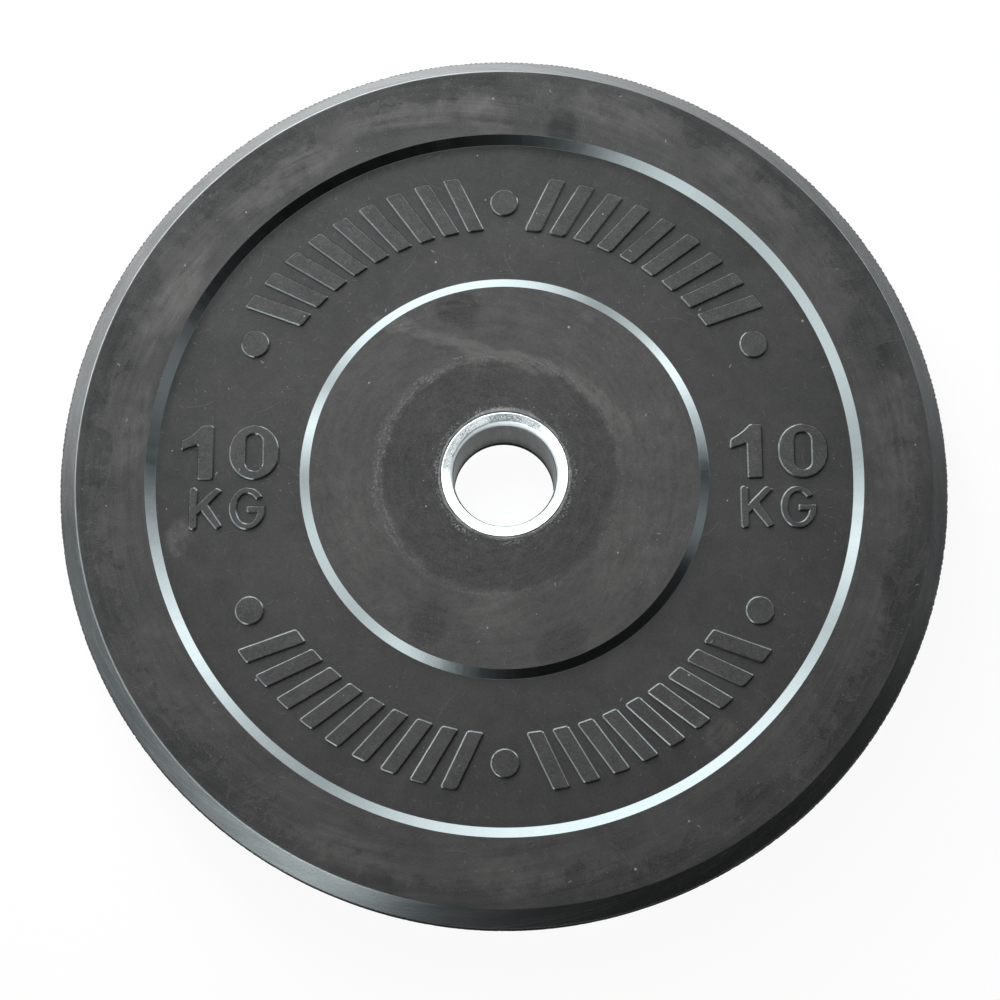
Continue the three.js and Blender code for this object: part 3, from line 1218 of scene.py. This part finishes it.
class PLATE_OT_raised_bars(bpy.types.Operator):
    """Raise two runs of leaning bars with dots above and below the hub, on both faces"""

    bl_idname = "plate.raised_bars"
    bl_label = "Raised Bars"

    def execute(self, context):
        marks = context.scene.plate_marks
        root = FRONT - context.scene.plate_rubber.recess_depth - MARK_ROOT
        mesh = bmesh.new()
        half_wide = marks.bar_width / 2
        half_long = marks.bar_length / 2
        lean = half_long * math.tan(marks.bar_lean)
        more = marks.bars_in_run - 1
        for side in (-1, 1):
            bar = bmesh.new()
            corners = (
                (-half_wide - side * lean, -half_long, marks.bar_corner),
                (half_wide - side * lean, -half_long, marks.bar_corner),
                (half_wide + side * lean, half_long, marks.bar_corner),
                (-half_wide + side * lean, half_long, marks.bar_corner),
            )
            flat_face(bar, corners, 4)
            raise_faces(bar, marks)
            move_mesh(bar, 0, marks.bar_circle, root)
            turn_mesh(bar, -side * marks.bar_step * DOT_STEPS)
            repeat_round(bar, -side * marks.bar_step * more, more)
            join(mesh, bar)
        outer_dot = marks.bar_step * (DOT_STEPS + more + DOT_STEPS)
        for angle in (-outer_dot, 0, outer_dot):
            dot = bmesh.new()
            bmesh.ops.create_circle(dot, cap_ends=True, radius=marks.dot_diameter / 2, segments=48)
            raise_faces(dot, marks)
            move_mesh(dot, 0, marks.bar_circle, root)
            turn_mesh(dot, angle)
            join(mesh, dot)
        repeat_round(mesh, math.pi, 1)
        copy_to_back(mesh)
        close_surface(mesh)
        new_piece(mesh, "raised_bars", bpy.data.materials["moulded_rubber"])
        return {"FINISHED"}


class PLATE_OT_hub_sleeve(bpy.types.Operator):
    """Turn the steel sleeve that the bar passes through"""

    bl_idname = "plate.hub_sleeve"
    bl_label = "Hub Sleeve"

    def execute(self, context):
        shape = context.scene.plate_sleeve
        bore = shape.bore / 2
        corners = (
            (SLEEVE_RADIUS, MIDDLE, 0),
            (SLEEVE_RADIUS, FRONT, shape.outer_edge),
            (bore + shape.lead_in_width, FRONT, shape.inner_edge),
            (bore, FRONT - shape.lead_in_depth, shape.throat_edge),
            (bore, MIDDLE, 0),
        )
        mesh = bmesh.new()
        turned_chain(mesh, corners)
        turn_profile(mesh, shape.steps)
        chance = random.Random(19)
        for vertex in mesh.verts:
            deep = MIDDLE - abs(vertex.co.z - MIDDLE)
            if deep < shape.outer_edge and vertex.co.xy.length > SLEEVE_RADIUS - shape.outer_edge:
                vertex.co.xy *= 1 - chance.uniform(0, shape.burr) / SLEEVE_RADIUS
        bmesh.ops.recalc_face_normals(mesh, faces=mesh.faces[:])
        material = turned_steel_material(shape, context.scene.plate_finish)
        piece = new_piece(mesh, "turned_sleeve", material)
        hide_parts("hub_sleeve")
        return {"FINISHED"}


class PLATE_OT_insert_finish(bpy.types.Operator):
    """Give the flange and the welds inside the rubber their own finishes"""

    bl_idname = "plate.insert_finish"
    bl_label = "Insert Finish"

    def execute(self, context):
        weld = weld_material()
        finishes = {
            "anchor_flange": plate_steel_material(),
            "front_weld_bead": weld,
            "back_weld_bead": weld,
        }
        for node, material in finishes.items():
            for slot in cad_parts[node].material_slots:
                slot.material = material
        return {"FINISHED"}


# Lamps: direction and elevation in degrees, distance and side in metres, and level
LAMPS = {
    "low_key_lamp": (118, 26, 1.5, 0.7, 15.6),
    "high_key_lamp": (118, 58, 1.5, 0.6, 8.7),
    "right_fill_lamp": (20, 30, 1.5, 0.8, 0.7),
    "left_fill_lamp": (215, 30, 1.5, 0.8, 0.7),
    "top_lamp": (90, 82, 1.8, 1.0, 1.3),
}

# The lamp that only reflections show; the others only light the plate
MIRRORED_LAMP = "top_lamp"

# What the glossy slopes mirror: levels at directions in degrees round the plate
WALL_LEVELS = (
    (0, 1.2), (14, 0.12), (28, 4.3), (42, 9.2), (55, 4.1), (67, 2.45), (80, 6.2), (92, 8.2),
    (118, 8.4), (128, 7.3), (141, 4.0), (154, 8.7), (168, 3.0), (184, 5.7), (200, 5.2),
    (214, 3.8), (227, 5.6), (237, 9.8), (246, 7.4), (256, 0.8), (264, 0.4), (275, 0.1), (330, 0.05),
    (345, 0.1), (354, 1.1), (360, 1.2),
)
HIGH_WALL_LEVELS = (
    *(stop for stop in WALL_LEVELS if stop[0] < 210),
    (217, 4.3), (232, 5.8), (243, 3.5), (252, 0.8), (262, 0.15), (275, 0), (320, 0),
    *(stop for stop in WALL_LEVELS if stop[0] >= 345),
)
FLOOR_LEVELS = (
    (0, 0.32), (15, 0.7), (30, 0.85), (45, 0.95), (60, 1.3), (75, 2.0), (90, 2.9), (105, 3.4),
    (120, 3.1), (135, 2.35), (165, 2.05), (180, 0.42), (196, 0.38), (208, 0.12), (225, 0.95),
    (240, 1.1), (255, 0.15), (268, 0.13), (290, 0.07), (310, 0.09), (335, 0.16), (350, 0.4),
    (360, 0.32),
)
WALL_TINT = (0.86, 1.0, 1.03)
FLOOR_TINT = (0.96, 1.0, 1.015)

# Reflectors: the radius and height of both edges in metres, levels and tint
REFLECTORS = {
    "wall_reflector": ((1.05, 0.001), (1.05, 0.62), WALL_LEVELS, WALL_TINT),
    "high_wall_reflector": ((1.05, 0.62), (1.05, 1.25), HIGH_WALL_LEVELS, WALL_TINT),
    "floor_reflector": ((0.29, 0.001), (1.05, 0.001), FLOOR_LEVELS, FLOOR_TINT),
}

# The floor lies a hair under the plate, so that no two faces share a plane
FLOOR_GAP = 0.2 * MM

# The floor's radius, in metres
FLOOR_RADIUS = 12

# Faces round a reflector
REFLECTOR_STEPS = 72


def add_floor():
    """Lay a round floor under the plate."""
    mesh = bmesh.new()
    place = Matrix.Translation((0, 0, -FLOOR_GAP))
    bmesh.ops.create_circle(mesh, cap_ends=True, radius=FLOOR_RADIUS, segments=64, matrix=place)
    new_object(mesh, "floor", floor_material())


def add_lamp(name, azimuth, elevation, distance, side, level):
    """Hang a square softbox that faces the plate."""
    lamp = bpy.data.lights.new(name, "AREA")
    lamp.size = side
    lamp.energy = level * math.pi * side * side
    box = bpy.data.objects.new(name, lamp)
    tilt = Matrix.Rotation(-math.radians(elevation), 3, "Y")
    box.location = Matrix.Rotation(math.radians(azimuth), 3, "Z") @ tilt @ Vector((distance, 0, 0))
    box.rotation_euler = box.location.to_track_quat("Z", "Y").to_euler()
    box.visible_camera = False
    box.visible_glossy = name == MIRRORED_LAMP
    box.visible_diffuse = name != MIRRORED_LAMP
    bpy.context.scene.collection.objects.link(box)


def add_reflector(name, start, end, levels, tint):
    """Spin a card round the plate that only reflections show."""
    mesh = bmesh.new()
    chain(mesh, [(radius, 0, height) for radius, height in (start, end)])
    spin_round(mesh, REFLECTOR_STEPS)
    glow = reflector_material(name.replace("reflector", "glow"), levels, tint)
    card = new_object(mesh, name, glow)
    for ray in ("camera", "diffuse", "shadow", "transmission", "volume_scatter"):
        setattr(card, "visible_" + ray, False)


def add_sky(level):
    """A world that is white where it is seen, and lights the plate at a low level."""
    shader = Shader(bpy.data.worlds.new("studio"))
    strength = shader.node("ShaderNodeMapRange", inputs={0: shader.seen(), 3: level, 4: 1.0})
    sky = shader.node("ShaderNodeBackground", inputs={"Color": (1, 1, 1, 1), "Strength": strength})
    bpy.context.scene.world = shader.finish(sky, "ShaderNodeOutputWorld")


def add_camera(studio):
    """Set the camera where the photograph was taken from."""
    lens = bpy.data.cameras.new("camera")
    lens.sensor_width = SENSOR
    lens.lens = studio.camera_lens
    camera = bpy.data.objects.new("camera", lens)
    camera.location = studio.camera_place
    camera.rotation_euler = studio.camera_turn
    bpy.context.scene.collection.objects.link(camera)
    bpy.context.scene.camera = camera


class PLATE_OT_stage(bpy.types.Operator):
    """Lay the floor, stand the lamps round it and set the camera"""

    bl_idname = "plate.stage"
    bl_label = "Stage"

    def execute(self, context):
        studio = context.scene.plate_studio
        add_floor()
        for name, (*placing, level) in LAMPS.items():
            add_lamp(name, *placing, level * studio.lamp_level)
        for name, card in REFLECTORS.items():
            add_reflector(name, *card)
        add_sky(studio.sky_level)
        add_camera(studio)
        context.scene.view_settings.view_transform = "Standard"
        return {"FINISHED"}


class PLATE_PT_panel(bpy.types.Panel):
    """The plate's pieces and its stage"""

    bl_idname = "PLATE_PT_panel"
    bl_label = "Bumper Plate"
    bl_space_type = "VIEW_3D"
    bl_region_type = "UI"
    bl_category = "Bumper Plate"

    def draw(self, context):
        for operator in OPERATORS:
            self.layout.operator(operator.bl_idname)


GROUPS = {
    "plate_rubber": PlateRubberShape,
    "plate_marks": PlateMarkShape,
    "plate_sleeve": PlateSleeveShape,
    "plate_finish": PlateFinish,
    "plate_studio": PlateStudio,
}
OPERATORS = (
    PLATE_OT_rubber_weight,
    PLATE_OT_weight_marks,
    PLATE_OT_raised_bars,
    PLATE_OT_hub_sleeve,
    PLATE_OT_insert_finish,
    PLATE_OT_stage,
)


def register():
    for group in GROUPS.values():
        bpy.utils.register_class(group)
    for name, group in GROUPS.items():
        setattr(bpy.types.Scene, name, bpy.props.PointerProperty(type=group))
    for operator in OPERATORS:
        bpy.utils.register_class(operator)
    bpy.utils.register_class(PLATE_PT_panel)


def unregister():
    bpy.utils.unregister_class(PLATE_PT_panel)
    for operator in reversed(OPERATORS):
        bpy.utils.unregister_class(operator)
    for name, group in GROUPS.items():
        delattr(bpy.types.Scene, name)
        bpy.utils.unregister_class(group)


def main():
    register()
    bpy.ops.plate.rubber_weight()
    bpy.ops.plate.weight_marks()
    bpy.ops.plate.raised_bars()
    bpy.ops.plate.hub_sleeve()
    bpy.ops.plate.insert_finish()
    bpy.ops.plate.stage()


if __name__ == "__main__":
    main()
